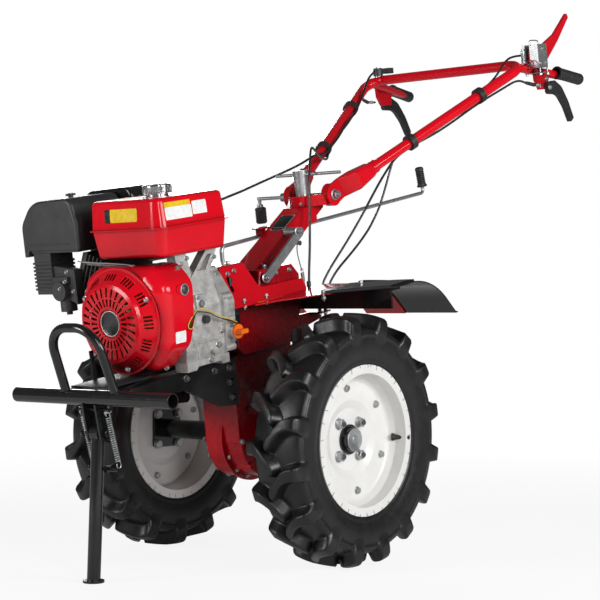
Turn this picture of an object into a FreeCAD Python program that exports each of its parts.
"""A motor cultivator: a two-wheel walk-behind tractor with a petrol engine on its nose.

Row frame: X forward (the engine end), Y to the operator's left, Z up, millimetres, with the origin on
the floor under the middle of the machine.  The machine parks nose down on its front stand, so its own
frame (origin on the wheel axle) is turned by the park angle about the axle.  Every piece of the chassis,
the engine and the handlebar is drawn in that machine frame and set down by `place`.
"""
import FreeCAD, Part
import math
import os

import Sketcher
from FreeCAD import Placement, Rotation, Vector

os.makedirs("parts", exist_ok=True)
doc = FreeCAD.newDocument("motor_cultivator")

# ---------------------------------------------------------------------------------------------------
# Driving sizes: one sheet, in millimetres and degrees.
# ---------------------------------------------------------------------------------------------------

SIZES = [
    # where the machine stands
    ("park_angle", 9.1), ("axle_forward", 241.1),
    # wheels: a 5.00-12 tractor tyre on a dished disc wheel
    ("wheel_radius", 286.0), ("half_track", 286.0), ("tyre_width", 140.0), ("lug_depth", 26.0),
    ("lug_thick", 30.0), ("lug_count", 16.0), ("lug_sweep", 26.0), ("lug_overlap", 9.0),
    ("lug_relief", 5.0), ("rim_radius", 170.0), ("rim_width", 112.0), ("rim_wall", 3.0),
    ("bead_radius", 153.0), ("disc_radius", 138.0), ("hub_bolt_ring", 52.0), ("disc_bolt_ring", 118.0),
    ("hub_ring_radius", 34.0), ("hub_cap_radius", 28.0), ("hub_flange", 90.0),
    ("hub_flange_thick", 8.0), ("hub_tube_radius", 23.0), ("axle_hex", 38.0), ("hub_gap", 106.0),
    # gearbox
    ("gear_lobe_radius", 102.0), ("gear_seam", 4.0), ("gear_bolt_boss", 9.0),
    ("gear_half_width", 62.0), ("gear_top", 388.0), ("gear_boss_radius", 48.0),
    ("gear_boss_end", 92.0), ("cable_stop", 262.0), ("gear_rear", -150.0), ("gear_front", 96.0),
    ("gear_neck", 52.0), ("clutch_radius", 88.0), ("clutch_rear", 96.3), ("side_cover_rear", 132.0),
    ("engine_face", 167.0),
    # pressed cover over the gearbox and the mudguards
    ("cover_front", 117.0), ("cover_top", 413.0), ("cover_foot", 317.0), ("cover_top_half", 55.0),
    ("cover_foot_half", 95.0), ("sheet_thick", 3.0), ("guard_top", 325.0), ("guard_outer", 360.0),
    ("guard_join", 215.0), ("guard_rear", -372.0), ("guard_rear_foot", 229.0), ("guard_bend", 180.0),
    ("guard_rib", 4.0), ("guard_bar_half", 335.0), ("guard_bar_top", 321.2), ("angle_leg", 46.0),
    ("angle_flange", 40.0), ("angle_thick", 6.0),
    # engine rails and the front bar
    ("rail_half", 80.0), ("rail_thick", 6.0), ("rail_top", 205.5), ("bar_forward", 494.9),
    ("bar_height", 186.3), ("bar_radius", 16.5), ("bar_wall", 2.5), ("bar_half", 235.5),
    ("bail_radius", 10.0), ("bail_half", 74.6), ("bail_rise", 161.0), ("bail_lean", 14.0),
    # stand
    ("stand_pivot_x", 488.4), ("stand_drop", 78.2), ("stand_radius", 14.5), ("pivot_bolt", 5.0),
    ("stand_lean", 2.45), ("spring_drop", 77.0), ("spring_half", 38.0), ("foot_radius", 23.0),
    ("foot_thick", 5.0),
    # engine: one cylinder laid over to the right
    ("crank_height", 332.0), ("engine_front", 300.0), ("block_left", 104.0), ("block_right", 96.0),
    ("shroud_front", 385.0), ("starter_front", 421.0), ("starter_radius", 112.0), ("hub_disc", 29.0),
    ("slot_ring", 78.0), ("slot_count", 28.0), ("louvre_width", 4.4), ("louvre_groups", 12.0),
    ("hood_dome", 34.0), ("fan_radius", 90.0), ("fin_pitch", 12.0), ("fin_thick", 3.0),
    ("elbow_ribs", 8.0), ("guard_slots", 9.0), ("tank_edge", 11.0), ("cylinder_tilt", 25.0),
    ("tank_front", 357.0), ("tank_rear", 120.0), ("tank_left", 120.0), ("tank_right", 112.0),
    ("tank_seam", 526.0), ("tank_top", 590.0), ("tank_foot", 461.0), ("tank_cap_radius", 32.0),
    ("cleaner_left", -165.0), ("cleaner_right", -350.0), ("cleaner_front", 330.0),
    ("cleaner_rear", 178.0), ("cleaner_top", 602.0), ("cleaner_foot", 486.0),
    # column, yoke and handlebar
    ("column_half", 34.0), ("swivel_x", -282.0), ("swivel_z", 511.0), ("yoke_radius", 31.0),
    ("tilt_x", -321.3), ("tilt_z", 534.1), ("ear_radius", 28.0), ("ear_inner", 50.0),
    ("ear_outer", 62.0), ("fork_outer", 70.0), ("fork_root", 34.0), ("fork_neck", 74.0),
    ("fork_mouth", 128.0), ("nut_top", 600.0), ("tube_radius", 13.5), ("corner_x", -966.2),
    ("corner_y", 262.2), ("corner_z", 811.8), ("grip_end_x", -1206.5), ("grip_end_y", 288.4),
    ("grip_end_z", 757.2), ("grip_radius", 16.0), ("grip_length", 112.0),
    # rear hitch
    ("hitch_bore", 8.25),
    # small running gap
    ("running_gap", 0.3),
]

sheet = doc.addObject("Spreadsheet::Sheet", "Sizes")
for row, (alias, amount) in enumerate(SIZES, start=1):
    sheet.set("A%d" % row, alias.replace("_", " "))
    sheet.set("B%d" % row, str(amount))
    sheet.setAlias("B%d" % row, alias)
doc.recompute()


class Size:
    """A number that keeps the sheet formula it came from, so that a sketch or feature can be bound to it."""

    def __init__(self, value, formula):
        self.value = float(value)
        self.formula = formula

    def __add__(self, other):
        other = as_size(other)
        return Size(self.value + other.value, "(%s + %s)" % (self.formula, other.formula))

    def __sub__(self, other):
        other = as_size(other)
        return Size(self.value - other.value, "(%s - %s)" % (self.formula, other.formula))

    def __mul__(self, other):
        other = as_size(other)
        return Size(self.value * other.value, "(%s * %s)" % (self.formula, other.formula))

    def __truediv__(self, other):
        other = as_size(other)
        return Size(self.value / other.value, "(%s / %s)" % (self.formula, other.formula))

    def __neg__(self):
        return Size(-self.value, "(-%s)" % self.formula)

    def __radd__(self, other):
        return as_size(other) + self

    def __rsub__(self, other):
        return as_size(other) - self

    def __rmul__(self, other):
        return as_size(other) * self


def as_size(number):
    """A plain number as a Size with itself as the formula."""
    if isinstance(number, Size):
        return number
    return Size(number, "(%r)" % float(number))


def sine(angle):
    return Size(math.sin(math.radians(angle.value)), "sin(%s)" % angle.formula)


def cosine(angle):
    return Size(math.cos(math.radians(angle.value)), "cos(%s)" % angle.formula)


class Sizes:
    """Reads each sheet cell by its alias: size.wheel_radius and so on."""

    def __init__(self, rows):
        for alias, amount in rows:
            setattr(self, alias, Size(amount, "Sizes." + alias))


size = Sizes(SIZES)
size.stand_pivot_z = size.bar_height - size.stand_drop
lean = size.park_angle

# ---------------------------------------------------------------------------------------------------
# Helpers: placement, sketches and features
# ---------------------------------------------------------------------------------------------------

LEFT, RIGHT = 1, -1
SIDES = (("left", LEFT), ("right", RIGHT))


def bind(thing, path, amount):
    """Bind one property of a document object to the sheet."""
    thing.setExpression(path, as_size(amount).formula)


def row_point(x, y, z):
    """A point of the machine frame (origin on the axle) in the row frame."""
    x, y, z = as_size(x), as_size(y), as_size(z)
    return (size.axle_forward + x * cosine(lean) + z * sine(lean), y,
            size.wheel_radius - x * sine(lean) + z * cosine(lean))


def place(thing, x=0.0, y=0.0, z=0.0, turn=0.0):
    """Place an object that is drawn in the machine frame, from a local origin and a turn about Y."""
    thing.Placement = Placement(Vector(0, 0, 0), Rotation(Vector(0, 1, 0), lean.value))
    bind(thing, ".Placement.Rotation.Angle", lean + turn)
    for path, amount in zip("xyz", row_point(x, y, z)):
        bind(thing, ".Placement.Base." + path, amount)
    return thing


def new_body(label, x=0.0, y=0.0, z=0.0, turn=0.0):
    """An empty PartDesign body in the machine frame, with its local origin at x, y, z."""
    body = doc.addObject("PartDesign::Body", label)
    body.Label = label
    return place(body, x, y, z, turn)


def sketch_on(body, plane, level=0.0, roll=None):
    """A sketch on the body's own XY, XZ or YZ plane, moved to `level` along the third axis.

    `roll` turns an XY sketch about the body's X or Y axis: ("X", angle) or ("Y", angle).
    """
    drawing = body.newObject("Sketcher::SketchObject", body.Label + "_sketch")
    for datum in body.Origin.OriginFeatures:
        if datum.Role == plane + "_Plane":
            drawing.AttachmentSupport = (datum, "")
    drawing.MapMode = "FlatFace"
    if roll is None:
        facing = -1.0 if plane == "XZ" else 1.0
        bind(drawing, ".AttachmentOffset.Base.z", as_size(level) * facing)
        return drawing
    axis, angle = roll[0], as_size(roll[1])
    direction = Vector(1, 0, 0) if axis == "X" else Vector(0, 1, 0)
    drawing.AttachmentOffset = Placement(Vector(0, 0, 0), Rotation(direction, 1.0))
    bind(drawing, ".AttachmentOffset.Rotation.Angle", angle)
    bind(drawing, ".AttachmentOffset.Base.z", as_size(level) * cosine(angle))
    if axis == "X":
        bind(drawing, ".AttachmentOffset.Base.y", -as_size(level) * sine(angle))
    else:
        bind(drawing, ".AttachmentOffset.Base.x", as_size(level) * sine(angle))
    return drawing


def pin_point(drawing, geometry, position, x, y):
    """Tie one sketch point to the sketch origin by its two coordinates."""
    for kind, amount in (("DistanceX", as_size(x)), ("DistanceY", as_size(y))):
        index = drawing.addConstraint(Sketcher.Constraint(kind, -1, 1, geometry, position, amount.value))
        bind(drawing, "Constraints[%d]" % index, amount)


def draw_circle(drawing, x, y, radius):
    """A circle with its centre and radius bound."""
    centre = Vector(as_size(x).value, as_size(y).value, 0)
    radius = as_size(radius)
    circle = drawing.addGeometry(Part.Circle(centre, Vector(0, 0, 1), radius.value), False)
    pin_point(drawing, circle, 3, x, y)
    index = drawing.addConstraint(Sketcher.Constraint("Radius", circle, radius.value))
    bind(drawing, "Constraints[%d]" % index, radius)


def corner_arc(before, corner, after, radius):
    """Entry point, exit point and arc of a rounded corner between two straight runs."""
    arriving = (before - corner).normalize()
    leaving = (after - corner).normalize()
    half_angle = arriving.getAngle(leaving) / 2.0
    reach = radius / math.tan(half_angle)
    entry = corner + arriving * reach
    leave = corner + leaving * reach
    middle = corner + (arriving + leaving).normalize() * (radius / math.sin(half_angle))
    inside = middle + (corner - middle).normalize() * radius
    return entry, leave, Part.Arc(entry, inside, leave), middle


def draw_outline(drawing, corners, closed=True):
    """Straight runs through the corners (x, y) or, for a rounded corner, (x, y, radius)."""
    points = [Vector(as_size(c[0]).value, as_size(c[1]).value, 0) for c in corners]
    count = len(corners)
    arcs = {}
    for index, corner in enumerate(corners):
        inner = closed or 0 < index < count - 1
        if len(corner) == 3 and inner:
            radius = as_size(corner[2]).value
            arcs[index] = corner_arc(points[index - 1], points[index], points[(index + 1) % count], radius)
    runs = count if closed else count - 1
    lines = []
    for index in range(runs):
        following = (index + 1) % count
        start = arcs[index][1] if index in arcs else points[index]
        end = arcs[following][0] if following in arcs else points[following]
        lines.append(drawing.addGeometry(Part.LineSegment(start, end), False))
    for index, corner in enumerate(corners):
        before = lines[index - 1] if closed or index else None
        after = lines[index] if index < runs else None
        if index in arcs:
            round_corner(drawing, before, after, corner, arcs[index])
            continue
        if before is not None and after is not None:
            drawing.addConstraint(Sketcher.Constraint("Coincident", before, 2, after, 1))
        if after is not None:
            pin_point(drawing, after, 1, corner[0], corner[1])
        else:
            pin_point(drawing, before, 2, corner[0], corner[1])


def round_corner(drawing, before, after, corner, arc_data):
    """Join two runs by a tangent arc; their meeting point stays bound as a construction point."""
    entry, leave, arc, middle = arc_data
    circle = Part.Circle(middle, Vector(0, 0, 1), as_size(corner[2]).value)
    turning_left = (entry - middle).cross(leave - middle).z > 0
    first, last = (entry, leave) if turning_left else (leave, entry)
    start = circle.parameter(first)
    end = circle.parameter(last)
    curve = drawing.addGeometry(Part.ArcOfCircle(circle, start, end), False)
    near, far = (1, 2) if turning_left else (2, 1)
    drawing.addConstraint(Sketcher.Constraint("Tangent", before, 2, curve, near))
    drawing.addConstraint(Sketcher.Constraint("Tangent", curve, far, after, 1))
    index = drawing.addConstraint(Sketcher.Constraint("Radius", curve, as_size(corner[2]).value))
    bind(drawing, "Constraints[%d]" % index, corner[2])
    spot = Vector(as_size(corner[0]).value, as_size(corner[1]).value, 0)
    mark = drawing.addGeometry(Part.Point(spot), True)
    drawing.addConstraint(Sketcher.Constraint("PointOnObject", mark, 1, before))
    drawing.addConstraint(Sketcher.Constraint("PointOnObject", mark, 1, after))
    pin_point(drawing, mark, 1, corner[0], corner[1])


def draw_shapes(drawing, shapes):
    """Each shape is a list of corners, or a tuple (x, y, radius) for a circle."""
    for shape in shapes:
        if isinstance(shape, tuple):
            draw_circle(drawing, *shape)
        else:
            draw_outline(drawing, shape)


def slab(body, plane, low, high, *shapes, cut=False, roll=None, draft=None):
    """Pad (or pocket) shapes drawn on a plane, from `low` to `high` along the third axis."""
    drawing = sketch_on(body, plane, low, roll)
    draw_shapes(drawing, shapes)
    feature = body.newObject("PartDesign::Pocket" if cut else "PartDesign::Pad", body.Label + "_slab")
    feature.Profile = drawing
    bind(feature, ".Length", as_size(high) - as_size(low))
    feature.Reversed = (plane == "XZ") != cut
    if draft is not None:
        bind(feature, ".TaperAngle", draft)
    return feature


def turned(body, plane, axis, *shapes, cut=False):
    """Revolve (or groove) shapes drawn on a plane round the sketch's own H or V axis."""
    drawing = sketch_on(body, plane)
    draw_shapes(drawing, shapes)
    feature = body.newObject("PartDesign::Groove" if cut else "PartDesign::Revolution", body.Label + "_turn")
    feature.Profile = drawing
    feature.ReferenceAxis = (drawing, [axis + "_Axis"])
    feature.Angle = 360.0
    return feature


def rod(body, plane, low, high, x, y, radius, bore=None):
    """A round bar or tube along the third axis."""
    slab(body, plane, low, high, (x, y, radius))
    if bore is not None:
        slab(body, plane, low, high, (x, y, bore), cut=True)


def around(body, feature, axis, count):
    """Repeat a feature evenly round one of the body's own axes."""
    ring = body.newObject("PartDesign::PolarPattern", body.Label + "_ring")
    ring.Originals = [feature]
    ring.Axis = (datum_of(body, axis + "_Axis"), [""])
    ring.Angle = 360.0
    bind(ring, ".Occurrences", count)
    body.Tip = ring
    return ring


def along(body, feature, axis, length, count, backwards=False):
    """Repeat a feature in a row along one of the body's own axes."""
    row_of = body.newObject("PartDesign::LinearPattern", body.Label + "_row")
    row_of.Originals = [feature]
    row_of.Direction = (datum_of(body, axis + "_Axis"), [""])
    row_of.Reversed = backwards
    bind(row_of, ".Length", length)
    bind(row_of, ".Occurrences", count)
    body.Tip = row_of
    return row_of


def datum_of(body, role):
    """One of the body's own planes or axes."""
    for datum in body.Origin.OriginFeatures:
        if datum.Role == role:
            return datum
    raise ValueError(role)


def soften(body, radius, wanted):
    """Round every edge of the body's last shape whose middle, in the body's frame, is `wanted`."""
    doc.recompute()
    last = body.Tip
    names = []
    for number, edge in enumerate(last.Shape.Edges, start=1):
        middle = edge.valueAt((edge.FirstParameter + edge.LastParameter) / 2)
        if wanted(middle):
            names.append("Edge%d" % number)
    rounding = body.newObject("PartDesign::Fillet", body.Label + "_rounding")
    rounding.Base = (last, names)
    bind(rounding, ".Radius", radius)
    return rounding


def bolt_ring(count, ring_radius, radius, x=0.0, y=0.0, first=0.0):
    """Circles spread evenly on a ring."""
    circles = []
    for index in range(count):
        angle = Size(first + 360.0 * index / count, "(%r)" % (first + 360.0 * index / count))
        circles.append((x + ring_radius * cosine(angle), y + ring_radius * sine(angle), radius))
    return circles


def box_corners(x_low, x_high, y_low, y_high, radius=None):
    """The four corners of a rectangle, rounded when a radius is given."""
    corners = [(x_low, y_low), (x_high, y_low), (x_high, y_high), (x_low, y_high)]
    if radius is None:
        return corners
    return [corner + (radius,) for corner in corners]


def route(points, bends):
    """A wire of straight runs joined by tangent arcs; `bends` gives the arc radius at each inner point."""
    spots = [Vector(*[as_size(v).value for v in point]) for point in points]
    edges = []
    here = spots[0]
    for index in range(1, len(spots) - 1):
        entry, leave, arc, _ = corner_arc(spots[index - 1], spots[index], spots[index + 1], bends[index - 1])
        edges.append(Part.LineSegment(here, entry).toShape())
        edges.append(arc.toShape())
        here = leave
    edges.append(Part.LineSegment(here, spots[-1]).toShape())
    return Part.Wire(edges)


def sweep_tube(points, bends, radius):
    """A round bar swept along a bent route."""
    path = route(points, bends)
    start = path.Edges[0]
    heading = start.tangentAt(start.FirstParameter)
    ring = Part.Wire(Part.makeCircle(as_size(radius).value, start.Vertexes[0].Point, heading))
    return path.makePipeShell([ring], True, False)


def even_bends(points, share=0.45):
    """For a cable: each arc as large as its two runs allow."""
    spots = [Vector(*[as_size(v).value for v in point]) for point in points]
    radii = []
    for before, corner, after in zip(spots, spots[1:], spots[2:]):
        turn = math.pi - (before - corner).getAngle(after - corner)
        shorter = min((before - corner).Length, (after - corner).Length)
        radii.append(share * shorter / math.tan(turn / 2.0))
    return radii


def part_feature(label, shape):
    """A sub-part whose shape comes from Part's own functions, in the machine frame."""
    feature = doc.addObject("Part::Feature", label)
    feature.Label = label
    feature.Shape = shape
    return place(feature)


def span(side, near, far):
    """Low and high Y of a piece between two distances from the middle."""
    near, far = as_size(near), as_size(far)
    if side == LEFT:
        return near, far
    return -far, -near


# ---------------------------------------------------------------------------------------------------
# Wheels
# ---------------------------------------------------------------------------------------------------

def wheel_body(label, side):
    """A body on the wheel's own centre: the wheel axis is local Y and local +Y points outward."""
    body = doc.addObject("PartDesign::Body", label)
    body.Label = label
    turn = 0.0 if side == LEFT else 180.0
    body.Placement = Placement(Vector(0, 0, 0), Rotation(Vector(0, 0, 1), turn))
    bind(body, ".Placement.Base.x", size.axle_forward)
    bind(body, ".Placement.Base.y", size.half_track * side)
    bind(body, ".Placement.Base.z", size.wheel_radius)
    return body


def tyre_section(crown, side_half):
    """Half of a tyre's outline from the crown's middle down one side: (distance from the middle, radius)."""
    return [
        (side_half - 40, crown), (side_half - 8, crown - 10), (side_half, size.wheel_radius - 42),
        (side_half - 2, size.rim_radius + 30)]


def build_tyre(label, side):
    """The carcass, seated on the rim's barrel, with two staggered rows of chevron lugs."""
    body = wheel_body(label, side)
    half = size.tyre_width / 2
    seat = size.rim_width / 2 - size.rim_wall
    carcass = size.wheel_radius - size.lug_depth
    wall_half = half - size.lug_relief
    down = tyre_section(carcass, wall_half)
    foot = size.rim_radius + 0.5
    turned(body, "YZ", "H", [(-seat, size.bead_radius), (seat, size.bead_radius), (seat, foot)]
           + list(reversed(down)) + [(-a, r) for a, r in down] + [(-seat, foot)])
    thick = size.lug_thick
    sweep = size.lug_sweep
    for row_side, stagger in ((1.0, 0.72), (-1.0, 0.22)):
        turn = as_size(stagger * 360.0) / size.lug_count
        nose, elbow, tail = -row_side * size.lug_overlap, row_side * half * 0.4, row_side * (half + 1)
        knee = elbow * 1.9
        bar = [(sweep + thick * 0.85, nose), (thick * 0.25, elbow), (thick * 0.08, knee), (thick * 0.12, tail),
               (thick * -1.42, tail), (thick * -1.36, knee), (thick * -1.08, elbow),
               (sweep - thick * 0.85, nose)]
        lug = slab(body, "XY", carcass - 16, size.wheel_radius + 2, bar, roll=("Y", turn), draft=-12.0)
        around(body, lug, "Y", size.lug_count)
        lip, end = row_side * (wall_half - 8), row_side * half
        foot_bar = [(thick * -0.05, lip), (thick * -0.05, end), (thick * -1.25, end), (thick * -1.25, lip)]
        leg = slab(body, "XY", carcass - 24, carcass - 8, foot_bar, roll=("Y", turn))
        around(body, leg, "Y", size.lug_count)
    beyond = size.wheel_radius + 30
    crown = tyre_section(size.wheel_radius, half)[:3]
    trim = [(half + 20, beyond), (-half - 20, beyond), (-half - 20, size.wheel_radius - 42)]
    trim += [(-a, r) for a, r in reversed(crown)] + crown + [(half + 20, size.wheel_radius - 42)]
    turned(body, "YZ", "H", trim, cut=True)


def build_rim(label, side):
    """A pressed rim: barrel, two flanges and a dished disc welded inside it."""
    body = wheel_body(label, side)
    half = size.rim_width / 2
    wall = size.rim_wall
    barrel = size.bead_radius - size.running_gap
    turned(body, "YZ", "H", [
        (-half, size.rim_radius), (-half, barrel - wall), (half, barrel - wall), (half, size.rim_radius),
        (half - wall, size.rim_radius), (half - wall, barrel), (wall - half, barrel),
        (wall - half, size.rim_radius)])
    turned(body, "YZ", "H", [
        (-4, 16), (3, 16), (3, 70, 8.0), (12, 90, 8.0), (12, size.disc_radius, 12.0), (28, barrel - wall),
        (20, barrel - wall), (5, size.disc_radius + 3, 12.0), (5, 92, 8.0), (-4, 74, 8.0)])
    slab(body, "XZ", -20.0, 20.0, *bolt_ring(4, size.hub_bolt_ring, 6.1, first=45.0), cut=True)
    slab(body, "XZ", 0.0, 30.0, *bolt_ring(6, size.disc_bolt_ring, 5.0, first=20.0), cut=True)


def build_hub(label, side):
    """The driving hub: a square flange bolted to the disc and a tube that slides on the axle shaft."""
    body = wheel_body(label, side)
    half = size.hub_flange / 2
    flange_face = -4 - size.running_gap
    tube_end = size.hub_gap - size.half_track
    slab(body, "XZ", flange_face - size.hub_flange_thick, flange_face, box_corners(-half, half, -half, half, 6.0))
    rod(body, "XZ", tube_end, flange_face, 0.0, 0.0, size.hub_tube_radius)
    rod(body, "XZ", flange_face, 7.0, 0.0, 0.0, 15.0)
    rod(body, "XZ", 3.3, 8.0, 0.0, 0.0, size.hub_ring_radius)
    rod(body, "XZ", 7.0, 21.0, 0.0, 0.0, size.hub_cap_radius)
    slab(body, "XZ", flange_face - 16, 12.0, *bolt_ring(4, size.hub_bolt_ring, 6.0, first=45.0))
    soften(body, 3.0, lambda middle: abs(middle.y - 21) < 0.1)


for side_name, side in SIDES:
    build_tyre("tyre_" + side_name, side)
    build_rim("rim_" + side_name, side)
    build_hub("hub_" + side_name, side)

# ---------------------------------------------------------------------------------------------------
# Gearbox and clutch housing
# ---------------------------------------------------------------------------------------------------

def build_gearbox():
    """A cast case: two halves bolted round the final gear, a wider upper case, and the axle's hexagon."""
    body = new_body("gearbox_case")
    lobe = size.gear_lobe_radius
    neck = size.gear_neck
    slab(body, "XZ", -neck, neck, (0.0, 0.0, lobe), draft=-3.0)
    slab(body, "XZ", -neck, neck, [
        (-lobe, 0.0), (lobe, 0.0), (size.gear_front, 200.0), (size.gear_rear + 30, 240.0)])
    seam = size.gear_seam
    slab(body, "XZ", -seam, seam, (0.0, 0.0, lobe + seam * 2))
    for height in (-60.0, 5.0, 70.0):
        reach = math.sqrt((lobe.value - 10) ** 2 - height ** 2)
        for forward in (-reach, reach):
            rod(body, "XZ", -neck - 4, neck + 4, forward, height, size.gear_bolt_boss)
    wide = size.gear_half_width + 12
    slab(body, "XZ", -wide, wide, [
        (size.gear_front - 20, 205.0), (size.gear_front, 225.0), (size.gear_front, 350.0), (5.0, 350.0),
        (-5.0, size.gear_top), (size.gear_rear + 24, size.gear_top), (size.gear_rear, size.gear_top - 26),
        (size.gear_rear, 290.0),
        (size.gear_rear + 40, 205.0)])
    boss = size.gear_boss_end
    slab(body, "XZ", -boss, boss, (0.0, 0.0, size.gear_boss_radius))
    shaft = size.hub_gap - size.running_gap
    corner = size.axle_hex / 2 / cosine(Size(30.0, "(30)"))
    hexagon = [(corner * cosine(Size(60.0 * step, "(%r)" % (60.0 * step))),
                corner * sine(Size(60.0 * step, "(%r)" % (60.0 * step)))) for step in range(6)]
    slab(body, "XZ", -shaft, shaft, hexagon)
    soften(body, 6.0, lambda middle: abs(abs(middle.y) - wide.value) < 0.1 and middle.z > 210.0)
    stop_rear, stop_height = size.gear_rear - 78, size.cable_stop
    slab(body, "XZ", wide - 14, wide - 8, [
        (size.gear_rear + 34, stop_height), (stop_rear, stop_height), (stop_rear, stop_height - 20),
        (size.gear_rear + 24, stop_height - 38)])
    slab(body, "XY", stop_height - 4, stop_height, box_corners(stop_rear, stop_rear + 44, wide - 14, wide + 22))


def build_clutch_housing():
    """The round bell between the engine's output face and the gearbox."""
    body = new_body("clutch_housing")
    slab(body, "YZ", size.clutch_rear, size.side_cover_rear - size.running_gap,
         (0.0, size.crank_height - 42, size.clutch_radius))


build_gearbox()
build_clutch_housing()

# ---------------------------------------------------------------------------------------------------
# Pressed cover and mudguards
# ---------------------------------------------------------------------------------------------------

def build_top_cover():
    """A folded sheet saddle over the gearbox: open below, and cut down behind for the column."""
    body = new_body("top_cover")
    foot, top = size.cover_foot_half, size.cover_top_half
    sheet_wall = size.sheet_thick
    outer = [(-foot, size.cover_foot), (foot, size.cover_foot), (top, size.cover_top), (-top, size.cover_top)]
    inner = [(sheet_wall - foot, size.cover_foot), (foot - sheet_wall, size.cover_foot),
             (top - sheet_wall, size.cover_top - sheet_wall), (sheet_wall - top, size.cover_top - sheet_wall)]
    slab(body, "YZ", size.gear_rear, size.cover_front, outer)
    slab(body, "YZ", size.gear_rear, size.cover_front, inner, cut=True)
    slab(body, "XZ", -120.0, 120.0, [
        (size.gear_rear - 5, size.cover_foot + 34), (10.0, size.cover_foot + 34, 18.0),
        (32.0, size.cover_top + 5), (size.gear_rear - 5, size.cover_top + 5)], cut=True)
    slab(body, "XZ", -120.0, 120.0, [
        (96.0, 352.0, 4.9), (106.0, 352.0, 4.9), (106.0, 388.0, 4.9), (96.0, 388.0, 4.9)], cut=True)
    soften(body, 10.0, lambda middle: abs(middle.z - size.cover_top.value) < 0.1 and abs(middle.y) > 50)


def guard_profile(lift, thick=None):
    """The side outline of a mudguard sheet, `lift` above the lower skin and square to it."""
    thick = size.sheet_thick if thick is None else as_size(thick)
    skin = [(60.0, size.guard_top - 10), (-282.0, size.guard_top + 1), (size.guard_rear, size.guard_rear_foot)]
    spots = [Vector(as_size(x).value, 0, as_size(z).value) for x, z in skin]
    runs = [(after - before).normalize() for before, after in zip(spots, spots[1:])]
    normals = [Vector(run.z, 0, -run.x) for run in runs]
    mitre = (normals[0] + normals[1]) * (1.0 / (1.0 + normals[0].dot(normals[1])))
    outward = [normals[0], mitre, normals[1]]
    outline = []
    for height, order in ((lift + thick, (0, 1, 2)), (as_size(lift), (2, 1, 0))):
        for index in order:
            x, z = skin[index]
            corner = (x + outward[index].x * height, z + outward[index].z * height)
            outline.append(corner + (size.guard_bend + height,) if index == 1 else corner)
    return outline


def build_mudguard(side_name, side):
    """Two overlapping pressed sheets: the inner one joins the cover, the outer one is bolted on it."""
    inner = new_body("fender_inner_" + side_name)
    low, high = span(side, size.cover_foot_half + 1, size.guard_join)
    slab(inner, "XZ", low, high, guard_profile(0.0))
    slab(inner, "XY", 150.0, 400.0, [
        (120.0, side * (size.cover_foot_half - 10)), (80.0, side * (size.cover_foot_half + 2)), (7.0, side * 130.0),
        (-74.0, side * 200.0), (-84.0, side * (size.guard_join + 10)), (120.0, side * (size.guard_join + 10))],
        cut=True)
    outer = new_body("fender_outer_" + side_name)
    seat = size.sheet_thick + size.running_gap
    inside, outside = size.guard_join - 20, size.guard_outer
    low, high = span(side, inside + 6, outside - 12)
    slab(outer, "XZ", low, high, guard_profile(seat, size.sheet_thick + size.guard_rib))
    for front in (70.0, -175.0, -262.0):
        back = front - 60.0
        slab(outer, "XY", 150.0, 400.0, [
            (front, side * inside), (back, side * outside), (back - 52, side * outside), (front - 52, side * inside)],
            cut=True)
    slab(outer, "XY", 150.0, 400.0, [
        (-300.0, side * inside), (-360.0, side * outside), (-420.0, side * outside), (-420.0, side * inside)],
        cut=True)
    low, high = span(side, inside, outside)
    slab(outer, "XZ", low, high, guard_profile(seat))
    slab(outer, "XY", 150.0, 400.0, [
        (120.0, side * (inside - 20)), (-62.0, side * (inside - 20)), (-146.0, side * (outside + 10)),
        (120.0, side * (outside + 10))], cut=True)
    edge = size.guard_rear_foot
    slab(outer, "XZ", low, high, box_corners(size.guard_rear - 12, size.guard_rear - 3, edge + 1, edge + 4))


def build_guard_bar():
    """The black angle iron across the gearbox's rear that carries both mudguards."""
    body = new_body("guard_bar")
    face, half, crown = size.gear_rear - size.running_gap, size.guard_bar_half, size.guard_bar_top
    slab(body, "YZ", face - size.angle_thick, face, box_corners(-half, half, crown - size.angle_leg, crown))
    slab(body, "YZ", face - size.angle_flange, face, box_corners(-half, half, crown - size.angle_thick, crown))
    for across in (-300.0, -238.0, -160.0, 160.0, 238.0, 300.0):
        slab(body, "XY", crown - 20, crown + 1, (face - 22, across, 4.2), cut=True)


build_top_cover()
for side_name, side in SIDES:
    build_mudguard(side_name, side)
build_guard_bar()

# ---------------------------------------------------------------------------------------------------
# Engine rails, front bar and stand
# ---------------------------------------------------------------------------------------------------

def build_rail(side_name, side):
    """A black pressed rail: an upright plate bolted to the gearbox, folded over under the engine."""
    body = new_body("engine_rail_" + side_name)
    low, high = span(side, size.rail_half - size.rail_thick, size.rail_half)
    rear, nose = size.engine_face - 49, size.bar_forward - 20
    bar_z = size.bar_height
    slab(body, "XZ", low, high, [
        (rear, size.rail_top), (rear, 97.0, 12.0), (rear + 68, 106.0, 20.0), (293.7, bar_z - 23, 40.0),
        (nose, bar_z - 10), (nose, bar_z + 10), (330.0, size.rail_top)])
    low, high = span(side, size.rail_half - 40, size.rail_half - size.rail_thick + 1)
    slab(body, "XZ", low, high, [
        (rear + 20, size.rail_top - size.rail_thick), (rear + 20, size.rail_top), (330.0, size.rail_top),
        (nose, bar_z + 10), (nose, bar_z + 4), (330.0, size.rail_top - size.rail_thick)])
    low, high = span(side, size.rail_half - size.rail_thick - 6, size.rail_half + 5)
    slab(body, "XZ", low, high, (rear + 14, 118.0, 8.0), (rear + 14, 153.0, 8.0), (rear + 14, 187.0, 8.0))


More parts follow.
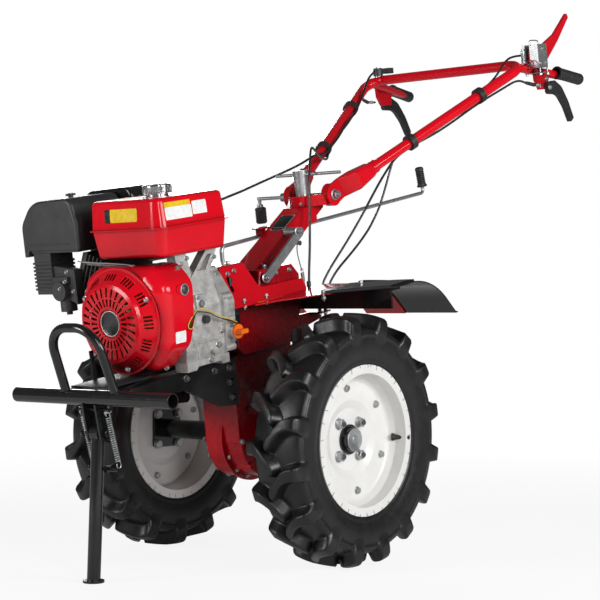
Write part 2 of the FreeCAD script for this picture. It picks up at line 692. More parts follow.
def build_front_plate():
    """The folded cross plate that ties the rails together in front and carries the bar."""
    body = new_body("front_plate")
    half = size.rail_half - size.rail_thick - size.running_gap
    bar_x, bar_z = size.bar_forward, size.bar_height
    slab(body, "XZ", -half, half, [
        (bar_x - 62, bar_z - 20), (bar_x - 59, bar_z - 20), (bar_x - 59, bar_z - 4), (bar_x - 16.2, bar_z - 4),
        (bar_x - 16.2, bar_z - 1), (bar_x - 62, bar_z - 1)])
    slab(body, "XZ", -half, half, (bar_x, bar_z, size.bar_radius), cut=True)


def build_bumper():
    """The open-ended front tube."""
    body = new_body("bumper_bar")
    rod(body, "XZ", -size.bar_half, size.bar_half, size.bar_forward, size.bar_height, size.bar_radius,
        size.bar_radius - size.bar_wall)


def build_bail():
    """A bent rod loop welded on the bar."""
    body = new_body("bumper_bail", size.bar_forward, 0.0, size.bar_height, size.bail_lean)
    spine = sketch_on(body, "YZ")
    foot = size.bar_radius - 1
    draw_outline(spine, [
        (-size.bail_half, foot), (-size.bail_half * 0.94, size.bail_rise, 60.0),
        (size.bail_half * 0.94, size.bail_rise, 60.0), (size.bail_half, foot)], closed=False)
    ring = sketch_on(body, "XY", foot)
    draw_circle(ring, 0.0, -size.bail_half, size.bail_radius)
    pipe = body.newObject("PartDesign::AdditivePipe", "bail_pipe")
    pipe.Profile = ring
    pipe.Spine = spine
    slab(body, "XZ", -size.bar_half, size.bar_half, (0.0, 0.0, size.bar_radius), cut=True)


def build_stand_bracket():
    """Two cheeks below the bar with the stand's pivot bolt between them."""
    body = new_body("stand_bracket")
    gap = size.stand_radius + 2
    for side in (LEFT, RIGHT):
        low, high = span(side, gap, gap + 5)
        slab(body, "XZ", low, high, [
            (size.bar_forward - 20, size.bar_height - 12), (size.bar_forward + 14, size.bar_height - 12),
            (size.stand_pivot_x + 15, size.stand_pivot_z - 14), (size.stand_pivot_x - 15, size.stand_pivot_z - 14)])
    slab(body, "XZ", -gap - 10, gap + 10, (size.bar_forward, size.bar_height, size.bar_radius), cut=True)
    rod(body, "XZ", -gap - 12, gap + 12, size.stand_pivot_x, size.stand_pivot_z, size.pivot_bolt)
    rod(body, "XZ", -size.spring_half - 8, size.spring_half + 8, size.stand_pivot_x + 4, size.bar_height - 26.2, 4.0)


def build_stand():
    """The tube leg on its pivot eye, with the foot disc flat on the floor and the springs' cross pin."""
    body = new_body("stand_leg", size.stand_pivot_x, 0.0, size.stand_pivot_z, -lean)
    floor = -row_point(size.stand_pivot_x, 0.0, size.stand_pivot_z)[2]
    tube = sketch_on(body, "XY")
    tube.AttachmentOffset = Placement(Vector(0, 0, 0), Rotation(Vector(0, 1, 0), 1.0))
    bind(tube, ".AttachmentOffset.Rotation.Angle", -size.stand_lean)
    draw_circle(tube, 0.0, 0.0, size.stand_radius)
    leg = body.newObject("PartDesign::Pad", "stand_tube")
    leg.Profile = tube
    leg.Reversed = True
    bind(leg, ".Length", -floor / cosine(size.stand_lean) - size.foot_thick / 2)
    eye = size.stand_radius - 2
    slab(body, "XZ", -eye, eye, (0.0, 0.0, size.stand_radius + 3))
    foot_x = -floor * sine(size.stand_lean) / cosine(size.stand_lean)
    rod(body, "XY", floor, floor + size.foot_thick, foot_x, 0.0, size.foot_radius)
    slab(body, "XZ", -10.0, 10.0, box_corners(-14.0, 6.0, -size.spring_drop - 7, 7 - size.spring_drop))
    rod(body, "XZ", -size.spring_half - 8, size.spring_half + 8, -14.0, -size.spring_drop, 4.0)
    slab(body, "XZ", -60.0, 60.0, (0.0, 0.0, size.pivot_bolt + 0.05), cut=True)


for side_name, side in SIDES:
    build_rail(side_name, side)
build_front_plate()
build_bumper()
build_bail()
build_stand_bracket()
build_stand()

# ---------------------------------------------------------------------------------------------------
# Engine
# ---------------------------------------------------------------------------------------------------

def build_engine_block():
    """The cast crankcase: foot rails, joint flange, output cover, oil neck, tank arm and the flywheel's fan."""
    body = new_body("engine_block")
    left, right = size.block_left, size.block_right
    foot = size.rail_top
    rear, front = size.engine_face, size.engine_front
    slab(body, "YZ", rear, front, [
        (-right, foot + 14), (left - 4, foot + 14), (left, 250.0, 20.0), (left, 345.0, 30.0), (74.0, 425.0, 20.0),
        (-50.0, 425.0), (-right, 370.0)])
    for inside, outside in ((left - 34, left + 3), (-right - 8, -right + 26)):
        slab(body, "YZ", rear, front + 5, box_corners(inside, outside, foot, foot + 22, 2.0))
    slab(body, "XZ", -right, left + 3, [
        (rear + 22, foot - 1), (rear + 30, foot + 8), (front - 30, foot + 8), (front - 22, foot - 1)], cut=True)
    cover = [(10 - right, 232.0, 30.0), (left - 4, 232.0, 30.0), (left + 4, 345.0, 34.0), (64.0, 416.0, 30.0),
             (-70.0, 410.0, 30.0)]
    slab(body, "YZ", size.side_cover_rear, rear + 1, cover)
    flange = [(2 - right, 224.0, 34.0), (left + 3, 224.0, 34.0), (left + 11, 345.0, 38.0), (68.0, 424.0, 34.0),
              (-74.0, 418.0, 34.0)]
    slab(body, "YZ", rear - 7, rear + 7, flange)
    bolts = [(left - 2, 238.0), (left + 3, 300.0), (left + 1, 352.0), (66.0, 412.0), (-4.0, 413.0)]
    for across, height in bolts:
        rod(body, "YZ", size.side_cover_rear + 12, rear + 8, across, height, 9.0)
    slab(body, "XZ", left - 1, left + 2, box_corners(196.0, 278.0, 262.0, 300.0, 4.0))
    for forward in (206.0, 232.0, 258.0):
        slab(body, "XZ", left - 6, left + 1, box_corners(forward, forward + 5, foot + 20, 262.0))
    slab(body, "XZ", 62.0, 84.0, [
        (148.0, size.tank_foot - 0.3), (182.0, size.tank_foot - 0.3), (240.0, 405.0), (180.0, 405.0)])
    slab(body, "XZ", 66.0, 85.0, [(166.0, 450.0), (179.0, 450.0), (219.0, 418.0), (189.0, 418.0)], cut=True)
    slab(body, "XZ", 58.0, 84.0, [
        (250.0, size.tank_foot - 0.3), (284.0, size.tank_foot - 0.3), (278.0, 415.0), (238.0, 415.0)])
    rod(body, "XZ", 84.0, 90.0, 150.0, 272.0, 17.0)
    rod(body, "XZ", 89.0, 122.0, 150.0, 272.0, 14.0)
    rod(body, "XZ", left - 1, left + 9, 214.0, 240.0, 8.0)
    rod(body, "YZ", front - 1, size.shroud_front - 30, 0.0, size.crank_height, size.fan_radius - 22)
    slab(body, "YZ", front + 8, size.shroud_front - 24, *[fan_blade(30.0 * step) for step in range(12)])


def fan_blade(angle):
    """One radial blade of the flywheel's fan, as a rectangle in Y and Z."""
    turn = Size(angle, "(%r)" % angle)
    corners = []
    for reach, half in ((size.fan_radius - 24, -1.6), (size.fan_radius, -1.6), (size.fan_radius, 1.6),
                        (size.fan_radius - 24, 1.6)):
        corners.append((reach * cosine(turn) - half * sine(turn),
                        size.crank_height + reach * sine(turn) + half * cosine(turn)))
    return corners


def hood_outline(inset):
    """The fan shroud's outline in Y and Z, drawn in by `inset`."""
    foot = size.rail_top + 11 + inset
    return [
        (-112.0 + inset, 262.0, 34.0), (-72.0 + inset / 2, foot, 30.0), (66.0 - inset / 2, foot, 34.0),
        (120.0 - inset, 270.0, 34.0), (132.0 - inset, 405.0, 44.0), (92.0 - inset / 2, 447.0 - inset, 36.0),
        (-70.0 + inset / 2, 449.0 - inset, 36.0), (-114.0 + inset, 425.0 - inset / 2, 34.0)]


def build_fan_shroud():
    """The pressed fan hood: a hollow sheet shell, domed at its front edge, open to the starter."""
    body = new_body("fan_shroud")
    rear, front = size.engine_front - 12, size.shroud_front
    slab(body, "YZ", rear, front, hood_outline(as_size(0.0)))
    soften(body, size.hood_dome, lambda middle: abs(middle.x - front.value) < 0.1)
    slab(body, "YZ", rear - 1, front - size.hood_dome, hood_outline(size.sheet_thick), cut=True)
    slab(body, "YZ", rear - 1, front + 1, (0.0, size.crank_height, size.starter_radius - 12), cut=True)
    slab(body, "XY", 180.0, 480.0, box_corners(rear - 1, size.engine_front + 5.3, -130.0, 48.0), cut=True)
    slab(body, "XZ", -140.0, 140.0, [
        (rear - 1, 180.0), (size.engine_front + 8.3, 180.0), (size.engine_front + 8.3, 246.0), (rear, 318.0),
        (rear - 1, 318.0)], cut=True)
    slab(body, "XZ", 120.0, 136.0, (330.0, 392.0, 9.5), cut=True)
    rod(body, "XZ", 124.0, 131.0, 330.0, 392.0, 9.5)


def build_starter():
    """The recoil starter's cover: a hollow cone with louvres, and two rings of slots round the hub disc."""
    body = new_body("recoil_starter", 0.0, 0.0, size.crank_height)
    back, front = size.shroud_front + size.running_gap, size.starter_front
    wide, narrow = size.starter_radius, size.starter_radius - 22
    skin = size.sheet_thick
    turned(body, "XZ", "H", [
        (back, wide - 16), (back, wide + 5), (back + skin, wide + 5), (back + skin, wide), (front - 9, narrow),
        (front - 3, narrow - 4), (front, narrow - 12), (front, size.hub_disc + 3), (front - 3, size.hub_disc),
        (front - 3, 0.0), (front - 3 - skin, 0.0), (front - skin, narrow - 13), (front - 10, narrow - 6),
        (back + skin, wide - 5)])
    outer_slot = slab(body, "YZ", front - 10, front + 1, [
        (-2.4, size.slot_ring - 20), (2.0, size.slot_ring - 20), (6.0, size.slot_ring), (0.0, size.slot_ring)],
        cut=True)
    around(body, outer_slot, "X", size.slot_count)
    inner_slot = slab(body, "YZ", front - 10, front + 1, [
        (-1.8, size.hub_disc + 8), (1.8, size.hub_disc + 8), (3.4, size.slot_ring - 24), (-2.2, size.slot_ring - 24)],
        cut=True)
    around(body, inner_slot, "X", size.slot_count)
    for shift in (-12.0, -4.0, 4.0, 12.0):
        louvre = slab(body, "XY", narrow - 16, wide + 8, box_corners(
            back + 9, front - 12, shift - size.louvre_width / 2, shift + size.louvre_width / 2), cut=True)
        around(body, louvre, "X", size.louvre_groups)


def tilted(distance, across):
    """Y and Z of a point along the cylinder's axis, which leans over to the right."""
    angle = size.cylinder_tilt
    return (across * sine(angle) - distance * cosine(angle),
            size.crank_height + distance * sine(angle) + across * cosine(angle))


def tilted_box(near, far, half):
    """A rectangle across the cylinder's axis, from `near` to `far` along it."""
    return [tilted(near, -half), tilted(near, half), tilted(far, half), tilted(far, -half)]


def build_cylinder():
    """The finned barrel and head, with the rocker cover on its flange and the spark plug's boot."""
    body = new_body("cylinder_head")
    pitch, thick = size.fin_pitch, size.fin_thick
    slab(body, "YZ", 196.0, 288.0, tilted_box(as_size(104.0), 108 + pitch * 9, as_size(46.0)))
    fins = [tilted_box(108 + pitch * step, 108 + pitch * step + thick, 62 - as_size(0.6 * step))
            for step in range(1, 9)]
    slab(body, "YZ", 182.0, size.engine_front, *fins)
    head = 108 + pitch * 9
    slab(body, "YZ", 186.0, 298.0, tilted_box(head, head + 6, as_size(56.0)))
    slab(body, "YZ", 198.0, 286.0, tilted_box(head + 5.9, head + 12, as_size(48.0)))
    slab(body, "YZ", 202.0, 282.0, tilted_box(head + 11.9, head + 32, as_size(44.0)))
    soften(body, 7.0, lambda middle: is_cover_edge(middle, head + 32))


def is_cover_edge(middle, distance):
    """True for an edge on the rocker cover's outer face."""
    angle = math.radians(size.cylinder_tilt.value)
    rise = middle.z - size.crank_height.value
    return abs(rise * math.sin(angle) - middle.y * math.cos(angle) - distance.value) < 0.2


def build_carburettor():
    """The carburettor with its float bowl and choke, under the air cleaner's ribbed plastic elbow."""
    body = new_body("carburettor")
    seat = size.cleaner_foot - 6.3
    slab(body, "YZ", 256.0, 325.0, box_corners(-322.0, -266.0, 384.0, seat))
    rib = slab(body, "XY", 394.0, 399.0, box_corners(252.0, 328.5, -326.0, -263.0, 3.0))
    along(body, rib, "Z", 60.0, size.elbow_ribs)
    slab(body, "YZ", 300.3, 322.0, [(-266.1, 390.0), (-196.0, 360.0), (-196.0, 440.0), (-266.1, 450.0)])
    rod(body, "YZ", size.engine_front + 0.3, 338.0, -238.0, 392.0, 22.0)
    rod(body, "XY", 344.0, 374.0, 311.0, -238.0, 19.0)
    rod(body, "XY", 336.0, 345.0, 311.0, -238.0, 7.0)
    slab(body, "XZ", -262.0, -214.0, [(304.0, 410.0), (330.0, 410.0), (330.0, 424.0), (304.0, 424.0)])


def build_air_cleaner():
    """The black air cleaner box on its base plate, with the cover's wing nut."""
    body = new_body("air_cleaner")
    rear, front = size.cleaner_rear, size.cleaner_front
    foot, top = size.cleaner_foot, size.cleaner_top
    left, right = size.cleaner_left, size.cleaner_right
    slab(body, "YZ", rear, front, [
        (right, foot - 14), (right + 16, foot - 14), (right + 20, foot, 3.0), (left, foot), (left + 2, top - 60, 60.0),
        (left - 14, top, 24.0), (right + 40, top - 4, 60.0), (right, top - 56, 40.0)])
    soften(body, 8.0, lambda middle: abs(middle.x - front.value) < 0.1 and middle.z > foot.value + 1)
    slab(body, "YZ", rear + 4, front - 4, box_corners(right + 24, left - 6, foot - 6, foot + 1))
    slab(body, "YZ", front - 0.1, front + 1.6, box_corners(right + 30, left - 30, foot + 12, foot + 15))
    rod(body, "XY", top - 8, top + 8, 254.0, -252.0, 6.0)
    slab(body, "XY", top + 2, top + 7, box_corners(240.0, 268.0, -254.0, -250.0))


def build_muffler():
    """The exhaust box inside its slotted heat guard."""
    body = new_body("muffler")
    rear, front = size.cleaner_rear - 120, size.cleaner_rear - 8
    left, right = -140.0, -300.0
    slab(body, "YZ", rear, front, [(right, 430.0, 16.0), (left, 430.0, 16.0), (left, 612.0, 24.0), (right, 606.0, 30.0)])
    soften(body, 7.0, lambda middle: abs(middle.x - rear.value) < 0.1 or abs(middle.x - front.value) < 0.1)
    top_slot = slab(body, "XY", 604.0, 614.0, box_corners(rear + 14, front - 14, left - 34, left - 29), cut=True)
    along(body, top_slot, "Y", 96.0, size.guard_slots, backwards=True)
    back_slot = slab(body, "YZ", rear - 1, rear + 3, box_corners(left - 34, left - 29, 460.0, 580.0), cut=True)
    along(body, back_slot, "Y", 96.0, size.guard_slots, backwards=True)
    rod(body, "YZ", rear - 22, rear + 1, left - 22, 448.0, 11.0, 8.5)


def build_tank():
    """Two pressed shells joined at a flange; both shells draw in away from it."""
    body = new_body("fuel_tank")
    rear, front, left, right = size.tank_rear + 5, size.tank_front - 5, size.tank_left - 6, size.tank_right - 6
    for low, high, taper in ((size.tank_seam, size.tank_top, -5.0), (size.tank_foot, size.tank_seam, -9.0)):
        upward = low is size.tank_seam
        drawing = sketch_on(body, "XY", size.tank_seam)
        draw_shapes(drawing, [box_corners(rear, front, -right, left, 26.0)])
        shell = body.newObject("PartDesign::Pad", "tank_shell")
        shell.Profile = drawing
        shell.Reversed = not upward
        shell.TaperAngle = taper
        bind(shell, ".Length", high - low)
        edge = high if upward else low
        soften(body, size.tank_edge, lambda middle: abs(middle.z - edge.value) < 0.1)
    flange = box_corners(size.tank_rear, size.tank_front, -size.tank_right, size.tank_left, 30.0)
    slab(body, "XY", size.tank_seam - 1.5, size.tank_seam + 1.5, flange)
    rod(body, "XY", size.tank_top - 2, size.tank_top + 0.1, 229.0, 0.0, size.tank_cap_radius - 2)


def build_tank_cap():
    """The screw cap: a knurled rim round a domed lid, on its neck."""
    body = new_body("fuel_cap")
    foot = size.tank_top + 0.2
    rod(body, "XY", foot, foot + 10, 229.0, 0.0, size.tank_cap_radius - 7)
    rod(body, "XY", foot + 8, foot + 25, 229.0, 0.0, size.tank_cap_radius)
    soften(body, 4.0, lambda middle: abs(middle.z - foot.value - 25) < 0.1)


def build_dipstick():
    """The oil filler's cap: a flange with a flat grip."""
    body = new_body("oil_dipstick")
    rod(body, "XZ", 122.1, 128.0, 150.0, 272.0, 16.0)
    slab(body, "XZ", 127.0, 146.0, box_corners(138.0, 162.0, 267.0, 277.0, 3.0))


build_engine_block()
build_fan_shroud()
build_starter()
build_cylinder()
build_carburettor()
build_air_cleaner()
build_muffler()
build_tank()
build_tank_cap()
build_dipstick()

# ---------------------------------------------------------------------------------------------------
# Column and swivelling yoke
# ---------------------------------------------------------------------------------------------------

def build_column():
    """The inclined box column on the gearbox, with the swivel stud in its head."""
    body = new_body("column")
    half = size.column_half
    slab(body, "XZ", -half, half, [
        (-37.0, size.gear_top + 0.1), (-247.0, size.swivel_z), (-318.0, size.swivel_z), (-318.0, size.swivel_z - 6),
        (-229.0, 450.0), (-122.0, size.gear_top + 0.1)])
    rod(body, "XY", size.swivel_z - 40, size.swivel_z, size.swivel_x, 0.0, size.yoke_radius)
    rod(body, "XY", size.swivel_z - 1, size.swivel_z + 26, size.swivel_x, 0.0, 8.0)


def build_strut():
    """A flat bar on the left, from the gearbox's side up to a spacer on the column."""
    body = new_body("column_strut")
    low, high = size.gear_half_width + 12.3, size.gear_half_width + 18.3
    foot, head = (-22.5, 368.0), (-163.0, 460.0)
    run = math.dist(foot, head)
    across = Vector(foot[1] - head[1], head[0] - foot[0], 0) * (11.0 / run)
    for end in (foot, head):
        slab(body, "XZ", low, high, (end[0], end[1], 11.0))
    slab(body, "XZ", low, high, [
        (foot[0] + across.x, foot[1] + across.y), (foot[0] - across.x, foot[1] - across.y),
        (head[0] - across.x, head[1] - across.y), (head[0] + across.x, head[1] + across.y)])
    rod(body, "XZ", size.column_half + 0.1, size.gear_half_width + 13, head[0], head[1], 10.5)


def build_yoke():
    """The clamped hub on the stud, and two ears that carry the handlebar's tilt bolt."""
    body = new_body("swivel_yoke")
    base = size.swivel_z + size.running_gap
    rod(body, "XY", base, size.swivel_z + 27, size.swivel_x, 0.0, size.yoke_radius)
    slab(body, "XY", base, size.swivel_z + 27, [
        (-262.0, -26.0), (-262.0, 26.0), (-296.0, size.ear_outer), (-340.0, size.ear_outer),
        (-340.0, size.ear_inner), (-308.0, 26.0), (-308.0, -26.0), (-340.0, -size.ear_inner),
        (-340.0, -size.ear_outer), (-296.0, -size.ear_outer)])
    for side in (LEFT, RIGHT):
        low, high = span(side, size.ear_inner, size.ear_outer)
        slab(body, "XZ", low, high, (size.tilt_x, size.tilt_z, size.ear_radius))
    rod(body, "XZ", -size.fork_outer - 4, size.fork_outer + 4, size.tilt_x, size.tilt_z, 6.0)
    rod(body, "XZ", size.fork_outer + size.running_gap, size.fork_outer + 7, size.tilt_x, size.tilt_z, 10.0)
    slab(body, "XY", base - 1, size.swivel_z + 28, (size.swivel_x, 0.0, 8.05), cut=True)


def build_clamp_nut():
    """The tall cone nut that clamps the yoke, with its sliding bar."""
    body = new_body("clamp_nut", size.swivel_x, 0.0, 0.0)
    base = size.swivel_z + 27.1
    turned(body, "XZ", "V", [(0.0, base), (15.0, base), (18.5, size.nut_top), (0.0, size.nut_top)])
    rod(body, "XZ", -76.0, 124.0, 0.0, size.nut_top - 10, 4.0)


def build_lock_crank():
    """The tilt bolt's socket and crank on the right."""
    body = new_body("lock_crank")
    near = -size.fork_outer - size.running_gap
    rod(body, "XZ", near - 26, near, size.tilt_x, size.tilt_z, 11.0)
    throw = near - 102
    rod(body, "XZ", throw - 4.5, near - 25, size.tilt_x, size.tilt_z, 4.5)
    rod(body, "XY", size.tilt_z - 20, size.tilt_z + 4.5, size.tilt_x, throw, 4.5)
    rod(body, "XY", size.tilt_z - 24, size.tilt_z - 14, size.tilt_x, throw, 8.0)
    rod(body, "XY", size.tilt_z - 62, size.tilt_z - 22, size.tilt_x, throw, 13.0)
    centre = (size.tilt_x.value, throw.value)
    soften(body, 4.0, lambda middle: abs(abs(middle.z - size.tilt_z.value + 42) - 20) < 0.1
           and math.dist((middle.x, middle.y), centre) > 12.5)
    slab(body, "XZ", near - 20, near + 1, (size.tilt_x, size.tilt_z, 6.05), cut=True)


build_column()
build_strut()
build_yoke()
build_clamp_nut()
build_lock_crank()

# ---------------------------------------------------------------------------------------------------
# Handlebar
# ---------------------------------------------------------------------------------------------------

def vector(x, y, z):
    return Vector(as_size(x).value, as_size(y).value, as_size(z).value)


def straight_bar(start, end, radius):
    """A round bar between two points."""
    along = end - start
    return Part.makeCylinder(as_size(radius).value, along.Length, start, along)


PIVOT_MIDDLE = (size.ear_outer + size.fork_outer) / 2
FORK_REACH = 150.0
CORNER_BEND = 42.0
STUB_RADIUS = 11.5


def arm_point(side, share):
    """A point on an arm's centre line: 0 at the tilt bolt, 1 at the handlebar's corner."""
    pivot = vector(size.tilt_x, PIVOT_MIDDLE * side, size.tilt_z)
    corner = vector(size.corner_x, size.corner_y * side, size.corner_z)
    return pivot + (corner - pivot) * share


def arm_share(distance):
    return distance / (arm_point(LEFT, 1.0) - arm_point(LEFT, 0.0)).Length


def stub_point(side, share):
    """A point on the grip's centre line: 0 on the tube's bend, 1 at the grip's end."""
    _, _, bend, _ = corner_arc(arm_point(side, 0.0), arm_point(side, 1.0), arm_point(-side, 1.0), CORNER_BEND)
    start = bend.value((bend.FirstParameter + bend.LastParameter) / 2)
    end = vector(size.grip_end_x, size.grip_end_y * side, size.grip_end_z)
    return start + (end - start) * share


def arm_directions(side):
    """The directions across the arm and square to it."""
    slope = (arm_point(side, 1.0) - arm_point(side, 0.0)).normalize()
    across = Vector(0, side, 0)
    return across, across.cross(slope).normalize() * side


def chamfered(point, across, rise, half_width, half_height, cut):
    """A closed wire: a rectangle with its corners cut, round a point."""
    spots = []
    for wide, high in ((1, 1), (-1, 1), (-1, -1), (1, -1)):
        first = (half_width, half_height - cut) if wide * high > 0 else (half_width - cut, half_height)
        second = (half_width - cut, half_height) if wide * high > 0 else (half_width, half_height - cut)
        for reach_across, reach_up in (first, second):
            spots.append(point + across * (wide * reach_across) + rise * (high * reach_up))
    return Part.makePolygon(spots + spots[:1])


def build_fork(side_name, side):
    """The flat eye on the tilt bolt, drawn out into a tapering boot and a sleeve for the tube."""
    near, far = span(side, size.ear_outer + size.running_gap, size.fork_outer)
    near, far = near.value, far.value
    eye = Part.makeCylinder(size.ear_radius.value, far - near, vector(size.tilt_x, near, size.tilt_z), Vector(0, 1, 0))
    across, rise = arm_directions(side)
    upright = Vector(rise.x, 0, rise.z).normalize()
    eye_middle = vector(size.tilt_x, (near + far) / 2, size.tilt_z)
    slope = Vector(upright.z, 0, -upright.x)
    if slope.x > 0:
        slope = slope * -1
    half_eye = (far - near) / 2
    root, neck, mouth = size.fork_root.value, size.fork_neck.value, size.fork_mouth.value
    sections = [
        chamfered(eye_middle, Vector(0, 1, 0), upright, half_eye, size.ear_radius.value - 1, 1.0),
        chamfered(eye_middle + slope * root, Vector(0, 1, 0), upright, half_eye, size.ear_radius.value - 2, 1.0)]
    blade = Part.makeLoft(sections, True, True)
    neck_point = arm_point(side, arm_share(neck))
    mouth_point = arm_point(side, arm_share(mouth))
    thick = size.tube_radius.value + 4.5
    boot = Part.makeLoft([sections[1], chamfered(neck_point, across, upright, thick, thick + 7, 5.0)], True, True)
    mouth_wire = chamfered(mouth_point, across, upright, thick, thick, 7.0)
    throat = Part.makeLoft([chamfered(neck_point, across, upright, thick, thick + 7, 5.0), mouth_wire], True, True)
    sleeve = straight_bar(arm_point(side, arm_share(mouth - 10)), arm_point(side, arm_share(FORK_REACH)),
                          size.tube_radius + 3.5)
    hole = Part.makeCylinder(6.05, 400.0, vector(size.tilt_x, -200.0, size.tilt_z), Vector(0, 1, 0))
    part_feature("handlebar_fork_" + side_name,
                 eye.fuse([blade, boot, throat, sleeve]).removeSplitter().cut(hole))


def bent_tube():
    """Both arms and the crossbar as one bent tube."""
    start = arm_share(FORK_REACH)
    corners = [arm_point(LEFT, start), arm_point(LEFT, 1.0), arm_point(RIGHT, 1.0), arm_point(RIGHT, start)]
    return sweep_tube(corners, [CORNER_BEND, CORNER_BEND], size.tube_radius)


def build_tube():
    """The handlebar's tube, with the grips' stubs and the lever brackets welded on."""
    pieces = []
    for side in (LEFT, RIGHT):
        pieces.append(straight_bar(stub_point(side, 0.0), stub_point(side, 0.97), STUB_RADIUS))
        near, far = (258.0, 269.0) if side == LEFT else (-269.0, -258.0)
        outline = [(-1002.0, 798.0), (-1004.0, 766.0), (-1022.0, 740.0), (-1064.0, 740.0), (-1070.0, 784.0)]
        points = [Vector(x, near, z) for x, z in outline]
        cheek = Part.Face(Part.makePolygon(points + points[:1]))
        pieces.append(cheek.extrude(Vector(0, far - near, 0)))
    part_feature("handlebar_tube", bent_tube().fuse(pieces).removeSplitter())


def build_grip(side_name, side):
    """The ribbed rubber sleeve on the stub's end."""
    reach = (stub_point(side, 1.0) - stub_point(side, 0.0)).Length
    start = stub_point(side, 1.0 - size.grip_length.value / reach)
    sleeve = straight_bar(start, stub_point(side, 1.0), size.grip_radius)
    part_feature("grip_" + side_name, sleeve.cut(straight_bar(start, stub_point(side, 0.97), STUB_RADIUS)))


def build_hand_lever(side_name, side):
    """The curved steering clutch lever under the grip."""
    body = new_body("hand_lever_" + side_name)
    low, high = span(side, 269.3, 281.0)
    slab(body, "XZ", low, high, [
        (-1040.0, 756.0), (-1080.0, 762.0, 14.0), (-1114.0, 744.0, 40.0), (-1146.0, 702.0, 70.0), (-1170.0, 654.0, 4.0),
        (-1152.0, 643.0, 4.0), (-1127.0, 687.0, 70.0), (-1094.0, 723.0, 40.0), (-1042.0, 727.0, 10.0)])


def build_clutch_control():
    """The zinc-plated bracket round the left stub, and the tall red lever in its channel."""
    low, high = vector(-1044.0, 236.0, 798.3), vector(-996.0, 284.0, 862.0)
    block = Part.makeBox(high.x - low.x, high.y - low.y, high.z - low.z, low)
    channel = Part.makeBox(60.0, 14.0, 60.0, Vector(low.x - 8, 244.0, 812.0))
    stub = straight_bar(stub_point(LEFT, 0.0), stub_point(LEFT, 1.0), STUB_RADIUS)
    part_feature("clutch_bracket", block.cut([channel, stub, bent_tube()]))
    lever = new_body("clutch_lever")
    slab(lever, "XZ", 247.0, 255.0, [
        (-1002.0, 818.0), (-1002.0, 846.0, 6.0), (-1062.0, 856.0, 20.0), (-1142.0, 888.0, 30.0), (-1221.0, 945.0, 3.0),
        (-1229.0, 933.0, 3.0), (-1160.0, 870.0, 60.0), (-1092.0, 818.0, 20.0), (-1052.0, 815.0)])


def build_throttle():
    """The thumb throttle on the right corner."""
    body = new_body("throttle_lever")
    rod(body, "XY", 825.6, 842.0, -966.0, -226.0, 14.0)
    slab(body, "XY", 836.0, 844.0, [(-960.0, -236.0), (-972.0, -214.0), (-1052.0, -252.0), (-1044.0, -266.0)])
    slab(body, "XY", 832.0, 848.0, [(-1036.0, -266.0), (-1046.0, -244.0), (-1096.0, -262.0), (-1090.0, -280.0)])


def build_collars():
    """Four rubber collars that hold the cables on the arms."""
    rings = []
    for side in (LEFT, RIGHT):
        for share in (0.37, 0.73):
            start = arm_point(side, share)
            end = arm_point(side, share + arm_share(17.0))
            ring = straight_bar(start, end, size.tube_radius + 7)
            rings.append(ring.cut(straight_bar(start, end, size.tube_radius)))
    part_feature("cable_collars", Part.makeCompound(rings))


build_tube()
for side_name, side in SIDES:
    build_fork(side_name, side)
    build_grip(side_name, side)
    build_hand_lever(side_name, side)
build_clutch_control()
build_throttle()
build_collars()

# ---------------------------------------------------------------------------------------------------
# Gear shift, hitch, springs and cables
# ---------------------------------------------------------------------------------------------------

def build_shift():
    """The long gear rod past the column's right side, turned up into its grip."""
    foot = size.gear_top.value + 0.1
    points = [(-30.0, -60.0, foot), (-30.0, -60.0, 444.0), (-897.0, -60.0, 488.0), (-887.0, -60.0, 556.0)]
    part_feature("shift_rod", sweep_tube(points, [14.0, 12.0], 5.0))
    corner, tip = Vector(*points[2]), Vector(*points[3])
    upright = (tip - corner).normalize()
    start = corner + upright * 17.0
    grip = straight_bar(start, tip + upright * 4.0, 12.0).cut(straight_bar(start, tip, 5.0))
    part_feature("shift_grip", grip)


def build_hitch():
    """The implement bracket behind the gearbox: two ears with an upright pin hole."""
    body = new_body("rear_hitch")
    face = -size.gear_lobe_radius - 8.1
    slab(body, "XY", -36.0, 96.0, box_corners(face - 12, face, -38.0, 38.0))
    for low in (-36.0, 84.0):
        slab(body, "XY", low, low + 12.0, box_corners(face - 64, face - 11, -32.0, 32.0))
    slab(body, "XY", -40.0, 100.0, (face - 40, 0.0, size.hitch_bore), cut=True)


def build_springs():
    """The stand's two over-centre springs, as their outer cylinders."""
    springs = []
    for side in (LEFT, RIGHT):
        top = Vector(492.4, side * size.spring_half.value, 154.0)
        foot = Vector(476.0, side * size.spring_half.value, 36.0)
        springs.append(straight_bar(top, foot, 7.0))
    part_feature("stand_springs", Part.makeCompound(springs))


CABLE_RADIUS = 3.0

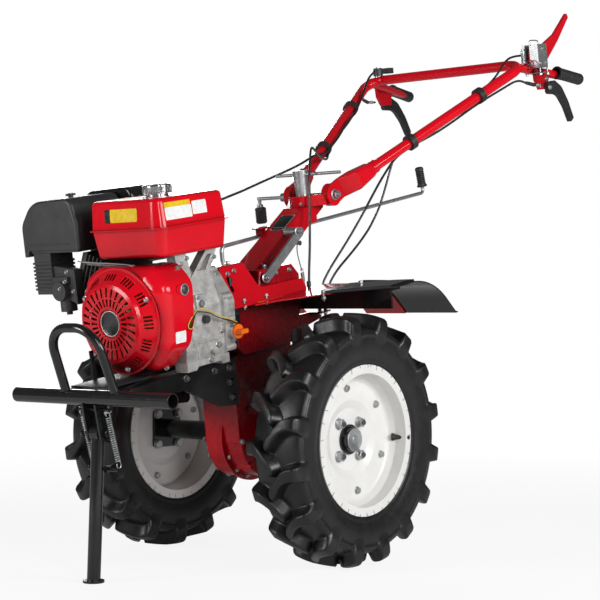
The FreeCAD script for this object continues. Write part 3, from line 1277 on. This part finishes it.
# Cable routes in the machine's frame: they start at a lever and end where the next list goes on.
UPPER_CABLES = [
    # left steering clutch: lever, under the left arm, down past the yoke
    [(-1012, 279, 752), (-978, 279, 753), (-947, 271, 760), (-921, 258, 772), (-876, 240, 753), (-830, 219, 733),
     (-773, 199, 709), (-708, 183, 680), (-644, 163, 653), (-594, 132, 632), (-534, 113, 606), (-487, 107, 567),
     (-444, 104, 529), (-404, 100, 489)],
    # main clutch: red lever, inside the left arm, down past the yoke
    [(-994, 231, 836), (-960, 224, 836), (-926, 221, 823), (-899, 219, 800), (-872, 212, 776), (-831, 200, 752),
     (-773, 183, 732), (-708, 163, 697), (-644, 144, 664), (-588, 121, 645), (-545, 109, 622), (-514, 105, 572),
     (-489, 103, 528), (-462, 101, 488)],
    # right steering clutch: lever, under the right arm, over the yoke to the left side
    [(-1012, -279, 752), (-978, -279, 753), (-946, -271, 761), (-921, -257, 773), (-876, -239, 752),
     (-831, -219, 735), (-772, -198, 707), (-708, -182, 681), (-644, -165, 653), (-586, -141, 628),
     (-520, -96, 612), (-462, -70, 622), (-405, -40, 640), (-350, -8, 654), (-300, 26, 650), (-268, 44, 615),
     (-254, 49, 575)],
    # throttle: thumb lever, inside the right arm, forward over the yoke
    [(-940, -218, 838), (-912, -217, 828), (-889, -216, 803), (-861, -210, 776), (-826, -199, 752),
     (-773, -182, 722), (-708, -163, 702), (-644, -143, 669), (-586, -126, 647), (-534, -110, 629),
     (-478, -103, 630), (-425, -105, 612)],
]
LOWER_CABLES = [
    # left steering clutch, main clutch: forward under the column, down behind the gearbox to their stop
    [(-403.5, 100, 488.4), (-348, 96, 438), (-297, 92, 396), (-247, 88, 356), (-211, 84, 316), (-203, 82, 262.7)],
    [(-461.6, 101, 487.4), (-428, 98, 448), (-382, 96, 414), (-330, 93, 382), (-272, 90, 350), (-231, 88, 312),
     (-219, 87, 262.9)],
    # right steering clutch: down the column's left side to its stop on the mudguards' bar
    [(-253.7, 49, 574), (-239, 55, 520), (-222, 62, 466), (-206, 68, 413), (-190, 72, 364), (-178, 76, 322.4)],
    # throttle: forward along the right side to the carburettor
    [(-424, -105, 611.7), (-350, -107, 596), (-270, -110, 581), (-190, -112, 565), (-110, -112, 552),
     (-35, -112, 541), (40, -110, 534)],
]


def build_cables():
    """Bowden cables: the upper set on the handlebar, the lower set from the yoke to the machine."""
    for label, cables in (("cables_upper", UPPER_CABLES), ("cables_lower", LOWER_CABLES)):
        tubes = [sweep_tube(points, even_bends(points), CABLE_RADIUS) for points in cables]
        part_feature(label, Part.makeCompound(tubes))


build_shift()
build_hitch()
build_springs()
build_cables()

# ---------------------------------------------------------------------------------------------------
# Checks and export
# ---------------------------------------------------------------------------------------------------

doc.recompute()
for thing in doc.Objects:
    if "Invalid" in thing.State or "Error" in thing.State:
        raise RuntimeError("%s did not build" % thing.Label)

pieces = [thing for thing in doc.Objects if thing.TypeId in ("PartDesign::Body", "Part::Feature")]
for piece in pieces:
    if piece.Shape.isNull() or not piece.Shape.isValid():
        raise RuntimeError("%s has no valid shape" % piece.Label)
for piece in pieces:
    piece.Shape.exportStep("parts/%s.step" % piece.Label)
print("%d pieces" % len(pieces))
